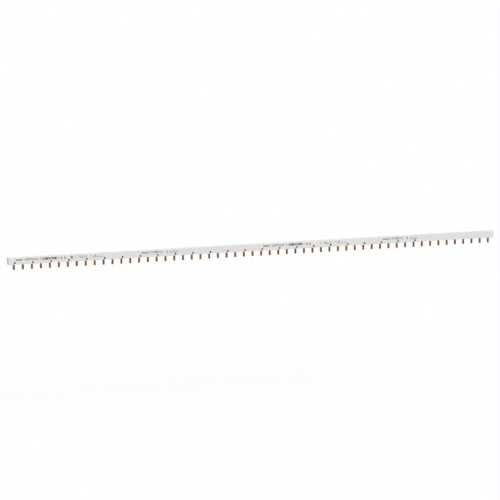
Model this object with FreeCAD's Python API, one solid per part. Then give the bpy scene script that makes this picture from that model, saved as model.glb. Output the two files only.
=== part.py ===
# Two-pole pin busbar: two punched copper combs in one extruded insulating profile, closed by two end caps.
# X runs along the bar, the printed front looks to -Y, and the pins point down to -Z.
# The origin is the middle of the pin row, in the pins' own plane, at the underside of the profile.
# All sizes are millimetres.
import FreeCAD
import Part
import math
import os
from FreeCAD import Vector

# Pin row
pin_count = 56
pin_pitch = 17.8
pin_width = 3.8
pin_reach = 11.0
tip_chamfer = 0.8
tip_bevel = 0.4

# Copper strip, 1.5 x 6.7 mm, about 10 square millimetres a phase
copper_thickness = 1.5
bar_height = 6.7
phase_spacing = 4.9
root_radius = 0.5
root_length = 0.6
crank_height = 4.1
bend_radius = 0.8
bar_margin_left = 5.5
bar_margin_right = 1.3

# Extruded profile
front_wall = 1.0
rear_wall = 1.2
top_wall = 1.1
floor_wall = 1.0
partition_wall = 0.7
bar_clearance = 0.2
slot_clearance = 0.15
partition_gap = 0.5
grip_rib_crest = 0.25
grip_rib_base = 0.65
grip_rib_margin = 1.2
outer_radius = 0.6
inner_radius = 0.2
lip_radius = 0.3
cell_radius = 0.25

# End caps
cap_flange = 1.2
cap_edge_radius = 0.4
cap_seam_chamfer = 0.2
plug_length = 3.2
plug_clearance = 0.1
plug_radius = 0.5
plug_nose = 0.3
bar_end_gap = 0.3

# Heights from the underside: floor, cranks, pin roots, bar, top wall
floor_top = floor_wall
crank_top = floor_top + crank_height
bar_bottom = crank_top + root_length
bar_top = bar_bottom + bar_height
ceiling = bar_top + bar_clearance
profile_top = ceiling + top_wall

# Depths from the pin plane: the rear bar stands in it, the front bar ahead of it
half_copper = copper_thickness / 2
rear_bar_y = 0.0
front_bar_y = -phase_spacing
rear_inside = rear_bar_y + half_copper + bar_clearance
partition_rear = rear_bar_y - half_copper - bar_clearance
partition_front = front_bar_y + half_copper + bar_clearance
front_inside = front_bar_y - half_copper - bar_clearance
profile_rear = rear_inside + rear_wall
profile_front = front_inside - front_wall
slot_front = -half_copper - slot_clearance

# Lengths along the row
row_length = (pin_count - 1) * pin_pitch
half_root = pin_width / 2 + root_radius
bar_start = -row_length / 2 - half_root - bar_margin_left
bar_end = row_length / 2 + half_root + bar_margin_right
profile_start = bar_start - bar_end_gap - plug_length
profile_end = bar_end + bar_end_gap + plug_length

# Crank of the front pins: two bends of equal radius and the slope that is tangent to both
bend_line_radius = bend_radius + half_copper
between_centres_y = phase_spacing - 2 * bend_line_radius
slope_length = math.sqrt(between_centres_y ** 2 + crank_height ** 2 - 4 * bend_line_radius ** 2)
crank_angle = math.atan2(between_centres_y, crank_height) + math.atan2(2 * bend_line_radius, slope_length)

# Two points nearer than this are one point of an outline
same_point = 1e-7


def outline(corners):
    """A closed face across the bar from (y, z, radius) corners, each rounded by its own radius."""
    points = [Vector(0, y, z) for y, z, _ in corners]
    edges = []
    previous_end = None
    first_start = None
    for index, (_, _, radius) in enumerate(corners):
        corner = points[index]
        back = (points[index - 1] - corner).normalize()
        ahead = (points[(index + 1) % len(points)] - corner).normalize()
        half_angle = back.getAngle(ahead) / 2
        setback = radius / math.tan(half_angle)
        start = corner + back * setback
        end = corner + ahead * setback
        if previous_end is None:
            first_start = start
        elif (start - previous_end).Length > same_point:
            edges.append(Part.LineSegment(previous_end, start).toShape())
        if radius > 0:
            inward = (back + ahead).normalize()
            middle = corner + inward * (radius / math.sin(half_angle) - radius)
            edges.append(Part.Arc(start, middle, end).toShape())
        previous_end = end
    edges.append(Part.LineSegment(previous_end, first_start).toShape())
    return Part.Face(Part.Wire(edges))


def rectangle(y_low, y_high, z_low, z_high, radius=0.0):
    """A rectangle across the bar, with all four corners rounded alike."""
    low_corners = [(y_low, z_low, radius), (y_high, z_low, radius)]
    high_corners = [(y_high, z_high, radius), (y_low, z_high, radius)]
    return outline(low_corners + high_corners)


def run_along(face, x_low, x_high):
    """The face drawn out along the bar from x_low to x_high."""
    placed = face.copy()
    placed.translate(Vector(x_low, 0, 0))
    return placed.extrude(Vector(x_high - x_low, 0, 0))


def partition_underside(y):
    """Height of the partition's underside, a plane that stays partition_gap clear of the sloped cranks."""
    from_centre = bend_radius - partition_gap
    tangent_y = front_bar_y + bend_line_radius - from_centre * math.cos(crank_angle)
    tangent_z = crank_top - from_centre * math.sin(crank_angle)
    return tangent_z - (y - tangent_y) / math.tan(crank_angle)


def grip_ribs(wall_y, crest_y, rising):
    """Corners of the fine ribs on one chamber wall. Their crests press on the copper and hold the bar."""
    corners = []
    for centre_z in (bar_bottom + grip_rib_margin, bar_top - grip_rib_margin):
        corners += [
            (wall_y, centre_z - grip_rib_base / 2, 0),
            (crest_y, centre_z - grip_rib_crest / 2, 0),
            (crest_y, centre_z + grip_rib_crest / 2, 0),
            (wall_y, centre_z + grip_rib_base / 2, 0),
        ]
    return corners if rising else corners[::-1]


def profile_section():
    """The die's section: two chambers, a hollow partition between them, and a floor with the pin slot."""
    corners = [
        (slot_front, 0, lip_radius),
        (profile_front, 0, outer_radius),
        (profile_front, profile_top, outer_radius),
        (profile_rear, profile_top, outer_radius),
        (profile_rear, 0, lip_radius),
        (rear_inside, 0, lip_radius),
    ]
    corners += grip_ribs(rear_inside, rear_bar_y + half_copper, True)
    corners += [
        (rear_inside, ceiling, inner_radius),
        (partition_rear, ceiling, inner_radius),
    ]
    corners += grip_ribs(partition_rear, rear_bar_y - half_copper, False)
    corners += [
        (partition_rear, partition_underside(partition_rear), lip_radius),
        (partition_front, partition_underside(partition_front), inner_radius),
    ]
    corners += grip_ribs(partition_front, front_bar_y + half_copper, True)
    corners += [
        (partition_front, ceiling, inner_radius),
        (front_inside, ceiling, inner_radius),
    ]
    corners += grip_ribs(front_inside, front_bar_y - half_copper, False)
    corners += [
        (front_inside, floor_top, inner_radius),
        (slot_front, floor_top, lip_radius),
    ]
    cell_front = partition_front + partition_wall
    cell_rear = partition_rear - partition_wall
    cell = outline([
        (cell_front, partition_underside(cell_front) + partition_wall, cell_radius),
        (cell_rear, partition_underside(cell_rear) + partition_wall, cell_radius),
        (cell_rear, ceiling, cell_radius),
        (cell_front, ceiling, cell_radius),
    ])
    return outline(corners).cut(cell).Faces[0]


def insulating_profile():
    return run_along(profile_section(), profile_start, profile_end)


def point_on(centre, radius, angle):
    """A point of a bend, at an angle turned from the side that looks to the front."""
    return Vector(0, centre.y - radius * math.cos(angle), centre.z - radius * math.sin(angle))


def bend(centre, radius, from_angle, to_angle):
    """An arc about the centre, between two such angles."""
    angles = (from_angle, (from_angle + to_angle) / 2, to_angle)
    return Part.Arc(*[point_on(centre, radius, angle) for angle in angles]).toShape()


def pin_tip(front_y, rear_y):
    """The bevelled lower end of a pin seen from the side, from its front face round to its rear face."""
    return [
        Vector(0, front_y, -pin_reach + tip_bevel),
        Vector(0, front_y + tip_bevel, -pin_reach),
        Vector(0, rear_y - tip_bevel, -pin_reach),
        Vector(0, rear_y, -pin_reach + tip_bevel),
    ]


def chain(points):
    return [Part.LineSegment(a, b).toShape() for a, b in zip(points, points[1:])]


def straight_pin_side():
    """Side view of a rear pin, straight down from the bar."""
    corners = [Vector(0, -half_copper, bar_bottom)]
    corners += pin_tip(-half_copper, half_copper)
    corners += [Vector(0, half_copper, bar_bottom)]
    return Part.Face(Part.Wire(chain(corners + corners[:1])))


def cranked_pin_side():
    """Side view of a front pin: down from the bar, back under the partition, and down in the pin plane."""
    tight = bend_radius
    wide = bend_radius + copper_thickness
    upper = Vector(0, front_bar_y + bend_line_radius, crank_top)
    lower = Vector(0, -bend_line_radius, floor_top)
    top_front = Vector(0, front_bar_y - half_copper, bar_bottom)
    top_rear = Vector(0, front_bar_y + half_copper, bar_bottom)
    tip = pin_tip(-half_copper, half_copper)
    straight = math.pi
    slope = math.pi + crank_angle
    edges = chain([top_front, point_on(upper, wide, 0)])
    edges += [bend(upper, wide, 0, crank_angle)]
    edges += chain([point_on(upper, wide, crank_angle), point_on(lower, tight, slope)])
    edges += [bend(lower, tight, slope, straight)]
    edges += chain([point_on(lower, tight, straight)] + tip + [point_on(lower, wide, straight)])
    edges += [bend(lower, wide, straight, slope)]
    edges += chain([point_on(lower, wide, slope), point_on(upper, tight, crank_angle)])
    edges += [bend(upper, tight, crank_angle, 0)]
    edges += chain([point_on(upper, tight, 0), top_rear, top_front])
    return Part.Face(Part.Wire(edges))


def pin_front():
    """Front view of a pin: flared at its root into the bar, with chamfered corners at the tip."""
    half = pin_width / 2
    neck = bar_bottom - root_radius
    diagonal = root_radius * (1 - math.sqrt(0.5))
    left_root = Vector(-half - root_radius, 0, bar_bottom)
    right_root = Vector(half + root_radius, 0, bar_bottom)
    left_neck = Vector(-half, 0, neck)
    right_neck = Vector(half, 0, neck)
    left_middle = Vector(-half - diagonal, 0, bar_bottom - diagonal)
    right_middle = Vector(half + diagonal, 0, bar_bottom - diagonal)
    sides = chain([
        left_neck,
        Vector(-half, 0, -pin_reach + tip_chamfer),
        Vector(-half + tip_chamfer, 0, -pin_reach),
        Vector(half - tip_chamfer, 0, -pin_reach),
        Vector(half, 0, -pin_reach + tip_chamfer),
        right_neck,
    ])
    edges = [Part.Arc(left_root, left_middle, left_neck).toShape()]
    edges += sides
    edges += [Part.Arc(right_neck, right_middle, right_root).toShape()]
    edges += chain([right_root, left_root])
    return Part.Face(Part.Wire(edges))


def pin(side_view):
    """A pin in the middle of the row: the side view drawn out to its root's width, cut to the front view."""
    blank = run_along(side_view, -half_root, half_root)
    front = pin_front()
    front.translate(Vector(0, profile_front, 0))
    return blank.common(front.extrude(Vector(0, profile_rear - profile_front, 0)))


def comb(bar_y, side_view, first_pin):
    """One punched strip: the bar of a phase and every second pin, starting with pin number first_pin."""
    bar = run_along(bar_section(bar_y), bar_start, bar_end)
    one_pin = pin(side_view)
    pins = []
    for number in range(first_pin, pin_count, 2):
        placed = one_pin.copy()
        placed.translate(Vector(number * pin_pitch - row_length / 2, 0, 0))
        pins.append(placed)
    return bar.fuse(pins).removeSplitter().Solids[0]


def bar_section(bar_y):
    return rectangle(bar_y - half_copper, bar_y + half_copper, bar_bottom, bar_top)


def end_cap():
    """The left cap: a flange over the whole section, and a plug that fills the chambers and the duct below.

    The flange is rounded outside and chamfered at the profile, so its seam shows as a fine groove.
    """
    flange_face = rectangle(profile_front, profile_rear, 0, profile_top, outer_radius)
    flange = run_along(flange_face, profile_start - cap_flange, profile_start)
    outer_rim = [e for e in flange.Edges if e.BoundBox.XMax < profile_start - cap_flange / 2]
    flange = flange.makeFillet(cap_edge_radius, outer_rim)
    inner_rim = [e for e in flange.Edges if e.BoundBox.XMin > profile_start - cap_flange / 2]
    flange = flange.makeChamfer(cap_seam_chamfer, inner_rim)
    block = rectangle(
        front_inside + plug_clearance,
        rear_inside - plug_clearance,
        floor_top + plug_clearance,
        partition_underside(partition_rear) - plug_clearance,
        plug_radius,
    )
    tongue = rectangle(
        slot_front + plug_clearance,
        rear_inside - plug_clearance,
        0,
        floor_top + plug_clearance + plug_radius,
    )
    front_prong = bar_section(front_bar_y)
    rear_prong = bar_section(rear_bar_y)
    plug_end = profile_start + plug_length
    plugs = [run_along(face, profile_start, plug_end) for face in (block, tongue, front_prong, rear_prong)]
    plug = plugs[0].fuse(plugs[1:]).removeSplitter()
    leading_rim = [e for e in plug.Edges if e.BoundBox.XMin > plug_end - plug_nose]
    return flange.fuse(plug.makeChamfer(plug_nose, leading_rim)).removeSplitter().Solids[0]


def mirrored_to_right(left_cap):
    middle = Vector((profile_start + profile_end) / 2, 0, 0)
    return left_cap.mirror(middle, Vector(1, 0, 0))


left_cap = end_cap()
nodes = {
    "insulating_profile": insulating_profile(),
    "front_comb": comb(front_bar_y, cranked_pin_side(), 0),
    "rear_comb": comb(rear_bar_y, straight_pin_side(), 1),
    "left_end_cap": left_cap,
    "right_end_cap": mirrored_to_right(left_cap),
}
os.makedirs("parts", exist_ok=True)
for name, shape in nodes.items():
    shape.exportStep("parts/" + name + ".step")
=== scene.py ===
import math

import bpy
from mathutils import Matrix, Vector


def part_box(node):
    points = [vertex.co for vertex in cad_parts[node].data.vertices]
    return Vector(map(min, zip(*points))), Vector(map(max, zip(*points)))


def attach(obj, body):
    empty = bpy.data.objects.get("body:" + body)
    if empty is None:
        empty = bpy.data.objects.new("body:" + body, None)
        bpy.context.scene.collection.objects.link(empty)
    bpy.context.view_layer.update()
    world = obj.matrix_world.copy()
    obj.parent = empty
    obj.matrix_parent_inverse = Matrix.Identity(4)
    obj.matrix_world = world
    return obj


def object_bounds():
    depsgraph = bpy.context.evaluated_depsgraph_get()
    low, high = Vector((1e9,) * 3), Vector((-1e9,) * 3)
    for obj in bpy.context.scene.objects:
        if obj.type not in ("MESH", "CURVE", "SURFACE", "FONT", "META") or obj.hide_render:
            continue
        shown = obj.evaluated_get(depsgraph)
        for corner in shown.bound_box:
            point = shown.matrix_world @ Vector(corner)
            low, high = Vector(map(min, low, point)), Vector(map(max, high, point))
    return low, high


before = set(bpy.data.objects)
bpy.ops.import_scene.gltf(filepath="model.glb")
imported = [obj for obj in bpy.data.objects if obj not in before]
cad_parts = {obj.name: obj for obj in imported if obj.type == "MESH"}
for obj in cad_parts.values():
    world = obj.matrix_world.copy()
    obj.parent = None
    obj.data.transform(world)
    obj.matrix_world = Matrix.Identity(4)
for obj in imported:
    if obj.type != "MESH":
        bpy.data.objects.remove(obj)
cad_low, cad_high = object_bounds()

# Insulating profile
# One length of light grey rigid PVC, drawn through a die, with a chamber for each copper bar and a
# slot along its underside. The die leaves faint lines along it, and the skin is satin.
pvc_grey = (227, 227, 226)
pvc_grey_dull = (219, 218, 218)
pvc_roughness = (0.42, 0.54)
pvc_ior = 1.53
die_line_length = 0.28
die_line_width = 0.0011
die_line_depth = 0.000012
skin_grain = 0.0005
skin_depth = 0.000004


def shade(red, green, blue):
    """A colour as a screen shows it, 0 to 255, turned into the linear colour that a shader takes."""
    linear = []
    for part in (red, green, blue):
        share = part / 255
        linear.append(share / 12.92 if share <= 0.04045 else ((share + 0.055) / 1.055) ** 2.4)
    return (*linear, 1.0)


def in_use(sockets, label):
    """The socket with that label which the node's settings leave in use."""
    return next(socket for socket in sockets if socket.name == label and socket.enabled)


def fill(tree, socket, source):
    """Gives a socket a fixed value, or links another node's output to it."""
    if isinstance(source, bpy.types.NodeSocket):
        tree.links.new(source, socket)
    else:
        socket.default_value = source


def add_node(tree, kind, settings=None, **inputs):
    """A new node with its settings, and its inputs filled by label, with _ for a space."""
    node = tree.nodes.new(kind)
    for name, value in (settings or {}).items():
        setattr(node, name, value)
    for label, source in inputs.items():
        fill(tree, in_use(node.inputs, label.replace("_", " ")), source)
    return node


def new_finish(name):
    """A new material, with its node tree and its surface shader."""
    finish = bpy.data.materials.new(name)
    finish.use_nodes = True
    return finish, finish.node_tree, finish.node_tree.nodes["Principled BSDF"]


def grain(tree, size, detail=3.0):
    """Noise fixed to the piece, in patches of that size in metres along X, Y and Z."""
    place = add_node(tree, "ShaderNodeTexCoord")
    spread = tuple(1 / side for side in size)
    scaled = add_node(tree, "ShaderNodeMapping", Vector=place.outputs["Object"], Scale=spread)
    noise = add_node(tree, "ShaderNodeTexNoise", Vector=scaled.outputs["Vector"], Scale=1.0, Detail=detail)
    return in_use(noise.outputs, "Fac")


def ramp(tree, share, low=0.0, high=1.0, start=0.3, end=0.7):
    """A number from low to high while share runs from start to end, where most of a grain lies."""
    settings = {"From_Min": start, "From_Max": end, "To_Min": low, "To_Max": high}
    return add_node(tree, "ShaderNodeMapRange", Value=share, **settings).outputs["Result"]


def blend_shades(tree, share, first, second):
    """A colour that runs from first to second as share runs from 0 to 1."""
    node = add_node(tree, "ShaderNodeMix", {"data_type": "RGBA"}, Factor=share, A=first, B=second)
    return in_use(node.outputs, "Result")


def relief(tree, height, depth, under=None):
    """A normal with bumps of that depth in metres, laid over the normal from under."""
    bump = add_node(tree, "ShaderNodeBump", Height=height, Distance=depth)
    if under is not None:
        tree.links.new(under, bump.inputs["Normal"])
    return bump.outputs["Normal"]


pvc, tree, surface = new_finish("drawn_grey_pvc")
die_lines = grain(tree, (die_line_length, die_line_width, die_line_width))
skin = grain(tree, (skin_grain, skin_grain, skin_grain), detail=2.0)
tone = blend_shades(tree, ramp(tree, die_lines), shade(*pvc_grey), shade(*pvc_grey_dull))
fill(tree, surface.inputs["Base Color"], tone)
fill(tree, surface.inputs["Roughness"], ramp(tree, die_lines, *pvc_roughness))
drawn = relief(tree, die_lines, die_line_depth)
fill(tree, surface.inputs["Normal"], relief(tree, skin, skin_depth, drawn))
surface.inputs["IOR"].default_value = pvc_ior
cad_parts["insulating_profile"].material_slots[0].material = pvc

# End caps
# Two small mouldings of the same grey plastic. Each has a flange as large as the section and a plug
# pressed into its chambers. Their mould was spark eroded, so they are a little more matt.
cap_grey = (224, 224, 223)
cap_grey_dull = (216, 215, 215)
cap_roughness = (0.5, 0.62)
cap_cloud = 0.004
spark_pit = 0.00035
spark_pit_depth = 0.00002

cap_plastic, tree, surface = new_finish("moulded_grey_cap")
pits = grain(tree, (spark_pit, spark_pit, spark_pit), detail=2.0)
clouds = grain(tree, (cap_cloud, cap_cloud, cap_cloud))
tone = blend_shades(tree, ramp(tree, clouds), shade(*cap_grey), shade(*cap_grey_dull))
fill(tree, surface.inputs["Base Color"], tone)
fill(tree, surface.inputs["Roughness"], ramp(tree, pits, *cap_roughness))
fill(tree, surface.inputs["Normal"], relief(tree, pits, spark_pit_depth))
surface.inputs["IOR"].default_value = pvc_ior
for node in ("left_end_cap", "right_end_cap"):
    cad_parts[node].material_slots[0].material = cap_plastic

# Copper combs
# Two strips punched from rolled copper, with a pin at every second pole and the front strip's pins bent
# back into the rear strip's plane. The faces have browned a little in store and the sheared sides are
# duller. The edges are painted lighter, partly as rubbed wear and partly as a painted highlight.
copper_bright = (160, 99, 46)
copper_brown = (112, 68, 33)
copper_roughness = (0.24, 0.38)
stain_size = 0.008
roll_line_shade = (92, 54, 28)
roll_line_strength = 0.3
roll_line_levels = (0.4, 0.75)
roll_line_length = 0.016
roll_line_width = 0.00011
roll_line_depth = 0.000004
sheared_shade = (84, 52, 27)
sheared_strength = 0.7
sheared_turn = (0.6, 0.9)
shear_line_width = 0.00018
shear_line_length = 0.003
shear_line_depth = 0.000004
# The lighter colour along the rounded edges is partly rubbed wear and partly a painted highlight.
rubbed_and_highlight_shade = (188, 126, 75)
rubbed_and_highlight_strength = 0.6
rubbed_and_highlight_turn = (0.01, 0.12)
edge_rounding_radius = 0.00022
edge_rounding_samples = 6


def calculate(tree, operation, *numbers):
    """The result of a math node on one or two numbers."""
    node = add_node(tree, "ShaderNodeMath", {"operation": operation})
    for socket, number in zip(node.inputs, numbers):
        fill(tree, socket, number)
    return node.outputs["Value"]


copper, tree, surface = new_finish("rolled_copper")
roll_lines = grain(tree, (roll_line_length, roll_line_width, roll_line_width))
stains = grain(tree, (stain_size, stain_size, stain_size), detail=5.0)
shear_lines = grain(tree, (shear_line_width, shear_line_width, shear_line_length), detail=2.0)
flat = add_node(tree, "ShaderNodeNewGeometry").outputs["Normal"]
rounding = add_node(tree, "ShaderNodeBevel", {"samples": edge_rounding_samples}, Radius=edge_rounding_radius)
rounded = rounding.outputs["Normal"]
agreement = add_node(tree, "ShaderNodeVectorMath", {"operation": "DOT_PRODUCT"})
fill(tree, agreement.inputs[0], flat)
fill(tree, agreement.inputs[1], rounded)
edge_turn = calculate(tree, "SUBTRACT", 1.0, agreement.outputs["Value"])
side_turn = calculate(tree, "ABSOLUTE", add_node(tree, "ShaderNodeSeparateXYZ", Vector=flat).outputs["X"])

tone = blend_shades(tree, ramp(tree, stains), shade(*copper_bright), shade(*copper_brown))
lined = ramp(tree, roll_lines, 0.0, roll_line_strength, *roll_line_levels)
tone = blend_shades(tree, lined, tone, shade(*roll_line_shade))
sheared = ramp(tree, side_turn, 0.0, sheared_strength, *sheared_turn)
tone = blend_shades(tree, sheared, tone, shade(*sheared_shade))
# Painted highlight: the rounded edges are painted lighter, partly as rubbed wear and partly as a highlight
# on the metal.
rubbed_and_highlit = ramp(tree, edge_turn, 0.0, rubbed_and_highlight_strength, *rubbed_and_highlight_turn)
tone = blend_shades(tree, rubbed_and_highlit, tone, shade(*rubbed_and_highlight_shade))
fill(tree, surface.inputs["Base Color"], tone)
fill(tree, surface.inputs["Roughness"], ramp(tree, roll_lines, *copper_roughness))
rolled = relief(tree, roll_lines, roll_line_depth, rounded)
fill(tree, surface.inputs["Normal"], relief(tree, shear_lines, shear_line_depth, rolled))
surface.inputs["Metallic"].default_value = 1.0
for node in ("front_comb", "rear_comb"):
    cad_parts[node].material_slots[0].material = copper

# Phase dots
# Round dots of black ink on the front of the profile, one above each pin of the first phase, 24 of them
# from the left end. A printing head lays them on as the bar runs past, in a film a little proud of it.
pin_pitch = 0.0178
pin_count = 56
first_pin_x = -(pin_count - 1) / 2 * pin_pitch
front_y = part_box("insulating_profile")[0].y
dot_count = 24
dot_radius = 0.00187
dot_height = 0.0033
dot_shift = 0.0003
dot_sides = 32
facing_front = (math.pi / 2, 0, 0)
ink_proud = 0.00002
ink_sunk = 0.00001
ink_bevel = 0.00006
ink_black = (28, 29, 31)
ink_worn = (48, 49, 51)
ink_roughness = (0.45, 0.65)
ink_speckle = 0.0004

ink, tree, surface = new_finish("black_print_ink")
speckle = grain(tree, (ink_speckle, ink_speckle, ink_speckle), detail=2.0)
tone = blend_shades(tree, ramp(tree, speckle), shade(*ink_black), shade(*ink_worn))
fill(tree, surface.inputs["Base Color"], tone)
fill(tree, surface.inputs["Roughness"], ramp(tree, speckle, *ink_roughness))


def new_pattern(name, **defaults):
    """A Geometry Nodes tree with a named input for each default, and the sockets at its two ends."""
    tree = bpy.data.node_groups.new(name, "GeometryNodeTree")
    tree.interface.new_socket("Geometry", in_out="INPUT", socket_type="NodeSocketGeometry")
    tree.interface.new_socket("Geometry", in_out="OUTPUT", socket_type="NodeSocketGeometry")
    for label, default in defaults.items():
        kind = "NodeSocketInt" if isinstance(default, int) else "NodeSocketFloat"
        tree.interface.new_socket(label, in_out="INPUT", socket_type=kind).default_value = default
    return tree, tree.nodes.new("NodeGroupInput").outputs, tree.nodes.new("NodeGroupOutput").inputs


def point(tree, x=0.0, y=0.0, z=0.0):
    """A vector from three numbers, each fixed or from a node."""
    return add_node(tree, "ShaderNodeCombineXYZ", X=x, Y=y, Z=z).outputs["Vector"]


def line_of_points(tree, count, start, spacing):
    """Points in a line along X, from start, spacing apart."""
    ends = {"Start_Location": start, "Offset": point(tree, x=spacing)}
    return add_node(tree, "GeometryNodeMeshLine", {"mode": "OFFSET"}, Count=count, **ends).outputs["Mesh"]


def add_to(tree, given, output, instances, finish):
    """Ends the tree: makes the instances real, adds them to what came in, and sets their material."""
    real = add_node(tree, "GeometryNodeRealizeInstances", Geometry=instances).outputs["Geometry"]
    both = add_node(tree, "GeometryNodeJoinGeometry", Geometry=real)
    tree.links.new(given["Geometry"], both.inputs["Geometry"])
    painted = add_node(tree, "GeometryNodeSetMaterial", Geometry=both.outputs["Geometry"], Material=finish)
    tree.links.new(painted.outputs["Geometry"], output["Geometry"])


def make_piece(name, tree, runs):
    """A plain mesh piece on the one body of this object, from the tree run once for each set of inputs."""
    piece = bpy.data.objects.new(name, bpy.data.meshes.new(name))
    bpy.context.scene.collection.objects.link(piece)
    for run in runs:
        pattern = piece.modifiers.new(tree.name, "NODES")
        pattern.node_group = tree
        for socket in tree.interface.items_tree:
            if socket.in_out == "INPUT" and socket.name in run:
                pattern[socket.identifier] = run[socket.name]
    made = piece.evaluated_get(bpy.context.evaluated_depsgraph_get())
    mesh = bpy.data.meshes.new_from_object(made)
    piece.modifiers.clear()
    piece.data = mesh
    mesh.name = name
    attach(piece, "root")


tree, given, output = new_pattern(
    "dots_over_pins",
    Count=dot_count,
    Spacing=2 * pin_pitch,
    Radius=dot_radius,
    Height=dot_height,
    Film=ink_proud,
)
dot = add_node(
    tree,
    "GeometryNodeMeshCone",
    Vertices=dot_sides,
    Radius_Top=calculate(tree, "SUBTRACT", given["Radius"], ink_bevel),
    Radius_Bottom=given["Radius"],
    Depth=calculate(tree, "ADD", given["Film"], ink_sunk),
)
first_dot = point(tree, first_pin_x + dot_shift, front_y + ink_sunk, given["Height"])
dots = add_node(
    tree,
    "GeometryNodeInstanceOnPoints",
    Points=line_of_points(tree, given["Count"], first_dot, given["Spacing"]),
    Instance=dot.outputs["Mesh"],
    Rotation=facing_front,
)
add_to(tree, given, output, dots.outputs["Instances"], ink)
make_piece("phase_dots", tree, [{}])

# Line print
# Rows of small plain marks in the same ink on the upper half of the front, printed again after every
# 14 poles: a long block and a short one by turns. They are upright strokes, bars and small blocks.
block_poles = 14
block_spacing = block_poles * pin_pitch
block_copies = 2
once_seed = 1
first_row_seed = 5
row_seed_step = 3
# Each kind of mark has its width as a share of its row's pitch, and its height as a share of the room
# that its row leaves it.
mark_shapes = {"stroke": (0.44, 1.0), "bar": (0.78, 1.0), "block": (0.78, 0.62)}
# Each row has its distance from the block's first pin, its length, the height of its middle, the room for
# its marks from bottom to top, their pitch, and the share of them that is printed.
long_rows = [
    (0.0029, 0.0148, 0.0087, 0.0034, 0.00116, 1.00),
    (0.0200, 0.0170, 0.0103, 0.0017, 0.00080, 0.94),
    (0.0200, 0.0285, 0.0079, 0.0015, 0.00080, 0.80),
    (0.0376, 0.0105, 0.0102, 0.0015, 0.00095, 0.76),
    (0.0507, 0.0009, 0.0088, 0.0050, 0.00090, 1.00),
    (0.0552, 0.0305, 0.0087, 0.0046, 0.00128, 0.97),
    (0.0870, 0.0235, 0.0083, 0.0046, 0.00128, 0.48),
    (0.1210, 0.0020, 0.0085, 0.0046, 0.00150, 1.00),
    (0.1270, 0.0180, 0.0096, 0.0013, 0.00082, 0.74),
    (0.1270, 0.0180, 0.0070, 0.0014, 0.00082, 0.86),
    (0.1515, 0.0110, 0.0095, 0.0020, 0.00082, 0.66),
    (0.1550, 0.0205, 0.0070, 0.0013, 0.00082, 0.74),
]
short_rows = [
    (0.0029, 0.0140, 0.0088, 0.0032, 0.00116, 1.00),
    (0.0193, 0.0270, 0.0103, 0.0017, 0.00080, 0.84),
    (0.0193, 0.0280, 0.0079, 0.0015, 0.00080, 0.80),
    (0.0552, 0.0020, 0.0085, 0.0046, 0.00150, 1.00),
    (0.0610, 0.0170, 0.0096, 0.0013, 0.00082, 0.74),
    (0.0610, 0.0170, 0.0070, 0.0014, 0.00082, 0.86),
]
row_in_first_block_only = (0.1104, 0.0057, 0.0085, 0.0056, 0.00114, 1.00)

tree, given, output = new_pattern(
    "row_of_marks",
    Start=0.0,
    Length=0.01,
    Height=0.009,
    Tall=0.002,
    Pitch=0.001,
    Fill=0.5,
    Seed=once_seed,
    Blocks=block_copies,
    Spacing=2 * block_spacing,
)
first_mark = point(tree, given["Start"], front_y + (ink_sunk - ink_proud) / 2, given["Height"])
mark_count = calculate(tree, "DIVIDE", given["Length"], given["Pitch"])
marks = add_node(tree, "GeometryNodeJoinGeometry")
for wide_share, tall_share in mark_shapes.values():
    wide = calculate(tree, "MULTIPLY", given["Pitch"], wide_share)
    tall = calculate(tree, "MULTIPLY", given["Tall"], tall_share)
    mark_size = point(tree, wide, ink_proud + ink_sunk, tall)
    mark = add_node(tree, "GeometryNodeMeshCube", Size=mark_size).outputs["Mesh"]
    choice = add_node(tree, "GeometryNodeGeometryToInstance", Geometry=mark).outputs["Instances"]
    tree.links.new(choice, marks.inputs["Geometry"])
printed = add_node(
    tree,
    "FunctionNodeRandomValue",
    {"data_type": "BOOLEAN"},
    Probability=given["Fill"],
    Seed=given["Seed"],
)
picked = add_node(
    tree,
    "FunctionNodeRandomValue",
    {"data_type": "INT"},
    Min=0,
    Max=len(mark_shapes) - 1,
    Seed=given["Seed"],
)
row_of_marks = add_node(
    tree,
    "GeometryNodeInstanceOnPoints",
    Points=line_of_points(tree, mark_count, first_mark, given["Pitch"]),
    Selection=in_use(printed.outputs, "Value"),
    Instance=marks.outputs["Geometry"],
    Pick_Instance=True,
    Instance_Index=in_use(picked.outputs, "Value"),
)
blocks = add_node(
    tree,
    "GeometryNodeInstanceOnPoints",
    Points=line_of_points(tree, given["Blocks"], (0, 0, 0), given["Spacing"]),
    Instance=row_of_marks.outputs["Instances"],
)
add_to(tree, given, output, blocks.outputs["Instances"], ink)


def row_inputs(block_x, row, **others):
    """The tree's inputs for one row of a block whose first pin stands at block_x."""
    distance, length, height, tall, pitch, printed_share = row
    sizes = {"Length": length, "Height": height, "Tall": tall, "Pitch": pitch, "Fill": printed_share}
    return {"Start": block_x + distance, **sizes, **others}


runs = [row_inputs(first_pin_x, row_in_first_block_only, Seed=once_seed, Blocks=1)]
for block_x, rows in ((first_pin_x, long_rows), (first_pin_x + block_spacing, short_rows)):
    for row in rows:
        runs.append(row_inputs(block_x, row, Seed=first_row_seed + row_seed_step * (len(runs) - 1)))
make_piece("line_print", tree, runs)

# Stage
# A plain pale floor well below the bar, under an even pale sky, a broad soft lamp from the front right
# and a weaker one from behind. The camera and the copper see sky and floor as white, all but the bar's
# shadow on the floor.
floor_drop = 0.3
floor_reach = 16.0
floor_white = 0.5
sky_light = 0.545
key_light = 2.2
key_from = Vector((0.35, -0.64, 0.68)).normalized()
key_spread = math.radians(35)
back_light = 0.7
back_from = Vector((0.0, 0.985, 0.174)).normalized()
back_spread = math.radians(20)


def seen_as_white(tree):
    """1 on rays from the camera and on those that metal or glass sends on, else 0."""
    rays = add_node(tree, "ShaderNodeLightPath").outputs
    metal_or_glass = calculate(tree, "MAXIMUM", rays["Is Glossy Ray"], rays["Is Transmission Ray"])
    return calculate(tree, "MAXIMUM", rays["Is Camera Ray"], metal_or_glass)


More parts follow.
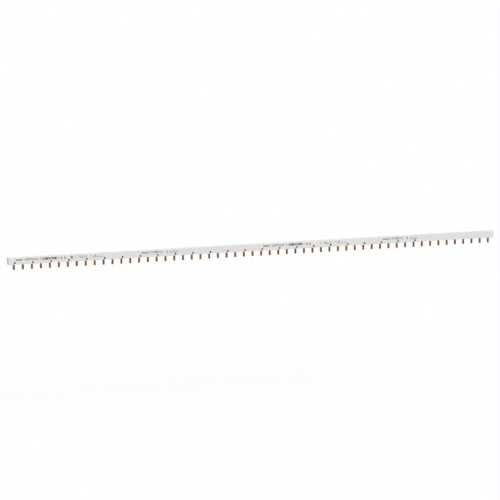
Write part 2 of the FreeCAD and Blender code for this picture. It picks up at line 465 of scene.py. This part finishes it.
sky = bpy.data.worlds.new("studio")
bpy.context.scene.world = sky
sky.use_nodes = True
tree = sky.node_tree
tree.nodes["Background"].inputs["Color"].default_value = (1, 1, 1, 1)
strength = ramp(tree, seen_as_white(tree), sky_light, 1.0, 0.0, 1.0)
fill(tree, tree.nodes["Background"].inputs["Strength"], strength)

pale, tree, surface = new_finish("pale_floor")
surface.inputs["Base Color"].default_value = (floor_white, floor_white, floor_white, 1)
surface.inputs["Roughness"].default_value = 1.0
surface.inputs["Specular IOR Level"].default_value = 0.0
surface.inputs["Emission Color"].default_value = (1, 1, 1, 1)
lamps_on_floor = (key_light * key_from.z + back_light * back_from.z) / math.pi
floor_glow = 1.0 - floor_white * (sky_light + lamps_on_floor)
strength = ramp(tree, seen_as_white(tree), 0.0, floor_glow, 0.0, 1.0)
fill(tree, surface.inputs["Emission Strength"], strength)
underneath = add_node(tree, "ShaderNodeNewGeometry").outputs["Backfacing"]
clear = add_node(tree, "ShaderNodeBsdfTransparent").outputs["BSDF"]
from_above = add_node(tree, "ShaderNodeMixShader", Fac=underneath)
tree.links.new(surface.outputs["BSDF"], from_above.inputs[1])
tree.links.new(clear, from_above.inputs[2])
tree.links.new(from_above.outputs["Shader"], tree.nodes["Material Output"].inputs["Surface"])

floor_z = cad_low.z - floor_drop
corners = [(-floor_reach, -floor_reach, floor_z), (floor_reach, -floor_reach, floor_z)]
corners += [(floor_reach, floor_reach, floor_z), (-floor_reach, floor_reach, floor_z)]
floor_mesh = bpy.data.meshes.new("floor")
floor_mesh.from_pydata(corners, [], [(0, 1, 2, 3)])
floor_mesh.materials.append(pale)
floor = bpy.data.objects.new("floor", floor_mesh)
bpy.context.scene.collection.objects.link(floor)

lamps = {"key": (key_light, key_from, key_spread), "back": (back_light, back_from, back_spread)}
for name, (energy, source, spread) in lamps.items():
    light = bpy.data.lights.new(name, "SUN")
    light.energy = energy
    light.angle = spread
    lamp = bpy.data.objects.new(name, light)
    lamp.rotation_euler = source.to_track_quat("Z", "Y").to_euler()
    bpy.context.scene.collection.objects.link(lamp)

# Camera
# A long lens, well back from the bar, to its left and a little above it. Its length, place and turn
# were fitted to the pins and edges of the photographed bar.
picture_pixels = 500
focal_pixels = 3266
sensor_width = 36.0
camera_turn = math.radians(19.39)
camera_tilt = math.radians(9.36)
camera_distance = 6.349
looked_at = Vector((-0.0164, -0.00685, 0.0026))
farthest_seen = 100.0

ahead = Vector((
    math.sin(camera_turn) * math.cos(camera_tilt),
    math.cos(camera_turn) * math.cos(camera_tilt),
    -math.sin(camera_tilt),
))
lens = bpy.data.cameras.new("camera")
lens.sensor_width = sensor_width
lens.lens = sensor_width * focal_pixels / picture_pixels
lens.clip_end = farthest_seen
camera = bpy.data.objects.new("camera", lens)
camera.location = looked_at - ahead * camera_distance
camera.rotation_euler = ahead.to_track_quat("-Z", "Y").to_euler()
bpy.context.scene.collection.objects.link(camera)
bpy.context.scene.camera = camera
bpy.context.scene.view_settings.view_transform = "Standard"
